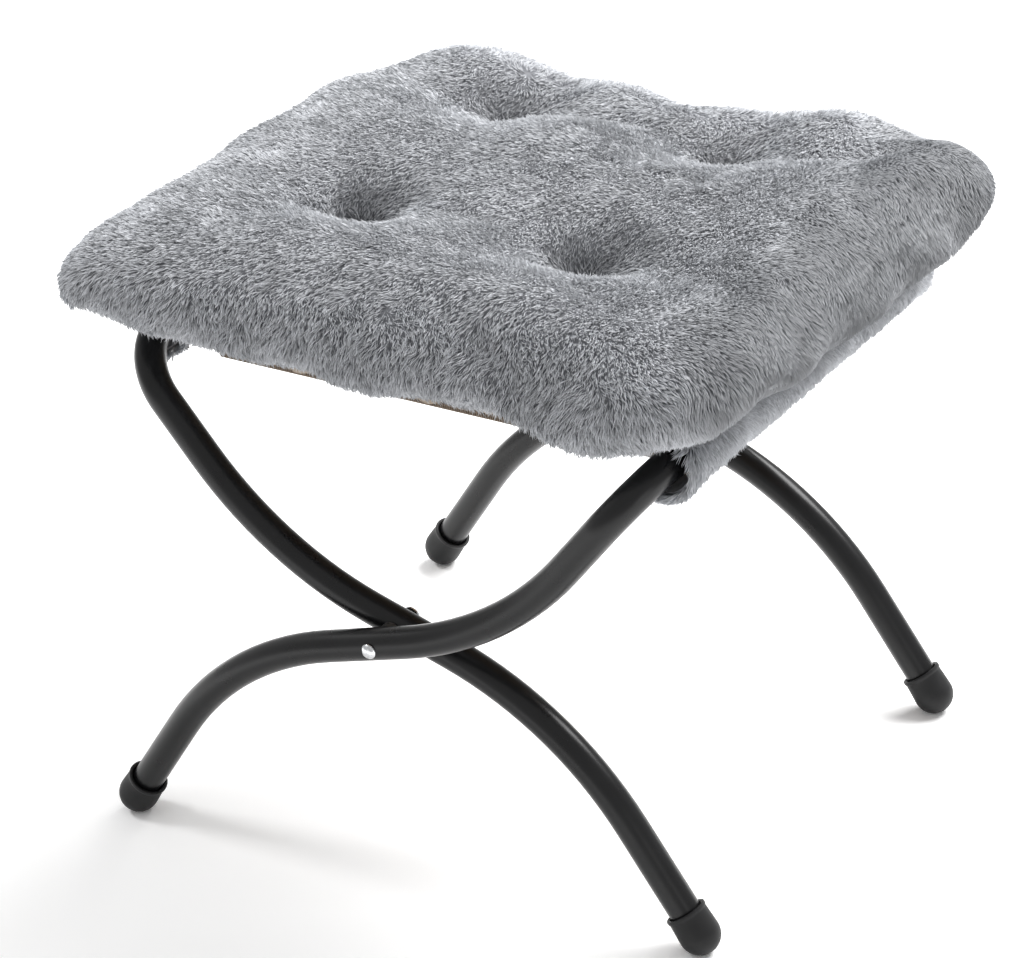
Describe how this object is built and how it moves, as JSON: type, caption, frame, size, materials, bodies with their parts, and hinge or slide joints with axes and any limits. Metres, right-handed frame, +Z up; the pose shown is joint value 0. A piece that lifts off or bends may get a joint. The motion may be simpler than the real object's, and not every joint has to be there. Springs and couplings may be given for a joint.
{
  "type": "folding footstool",
  "caption": "Folding footstool: two crossed bent-tube frames on rivets, rubber feet, a cloth sling between the rails and a tufted plush cushion that folds up in the middle.",
  "frame": {"origin": "on the floor, under the middle of the seat", "axes": "+Z up, +X along the seat's width towards the outer frame's rail, +Y along the rails and the rivets, away from the front"},
  "size_m": [0.467, 0.373, 0.3943],
  "materials": {
    "black_tube": "satin black powder coat",
    "foot_rubber": "matte moulded rubber",
    "zinc_steel": "bright zinc plate",
    "black_nylon": "matte",
    "sling_cloth": "brown woven canvas",
    "edge_cord": "beige bound edge",
    "grey_plush": "short-pile cool grey plush",
    "fibre_filling": "white fibre filling",
    "tufting_thread": "grey twisted thread"
  },
  "bodies": {
    "outer_frame": {"outer_frame_tube": "black_tube", "outer_front_foot": "foot_rubber", "outer_rear_foot": "foot_rubber", "front_pivot_rivet": "zinc_steel", "rear_pivot_rivet": "zinc_steel", "front_pivot_spacer": "black_nylon", "rear_pivot_spacer": "black_nylon", "front_rivet_washer": "zinc_steel", "rear_rivet_washer": "zinc_steel"},
    "inner_frame": {"inner_frame_tube": "black_tube", "inner_front_foot": "foot_rubber", "inner_rear_foot": "foot_rubber"},
    "seat_right": {"right_sling": "sling_cloth", "right_rail_loop": "sling_cloth", "right_edge_binding": "edge_cord", "right_fur_sleeve": "grey_plush", "right_cushion_cover": "grey_plush", "right_filling": "fibre_filling", "right_tuft_threads": "tufting_thread"},
    "seat_left": {"left_sling": "sling_cloth", "left_edge_binding": "edge_cord", "left_cushion_cover": "grey_plush", "left_filling": "fibre_filling", "left_tuft_threads": "tufting_thread"},
    "left_sleeve": {"left_rail_loop": "sling_cloth", "left_fur_sleeve": "grey_plush"}
  },
  "joints": [
    {"name": "frame_fold", "type": "hinge", "parent": "outer_frame", "child": "inner_frame", "pos_m": [0, 0, 0.16603], "axis": [0, 1, 0], "range_deg": [0, 75], "deforming": ["right_cushion_cover", "left_cushion_cover", "right_filling", "left_filling", "right_sling", "left_sling", "right_edge_binding", "left_edge_binding", "right_tuft_threads", "left_tuft_threads"]},
    {"name": "right_seat_tilt", "type": "hinge", "parent": "outer_frame", "child": "seat_right", "pos_m": [0.17748, 0, 0.3055], "axis": [0, 1, 0], "range_deg": [0, 95.7]},
    {"name": "seat_middle_fold", "type": "hinge", "parent": "seat_right", "child": "seat_left", "pos_m": [0, 0, 0.35], "axis": [0, -1, 0], "range_deg": [0, 116.3]},
    {"name": "left_sleeve_turn", "type": "hinge", "parent": "inner_frame", "child": "left_sleeve", "pos_m": [-0.17748, 0, 0.3055], "axis": [0, -1, 0], "range_deg": [0, 95.7]}
  ],
  "couplings": [
    {"joint": "right_seat_tilt", "follows": "frame_fold", "ratio": 1.2751},
    {"joint": "seat_middle_fold", "follows": "frame_fold", "ratio": 1.5502},
    {"joint": "left_sleeve_turn", "follows": "frame_fold", "ratio": 1.2751}
  ]
}
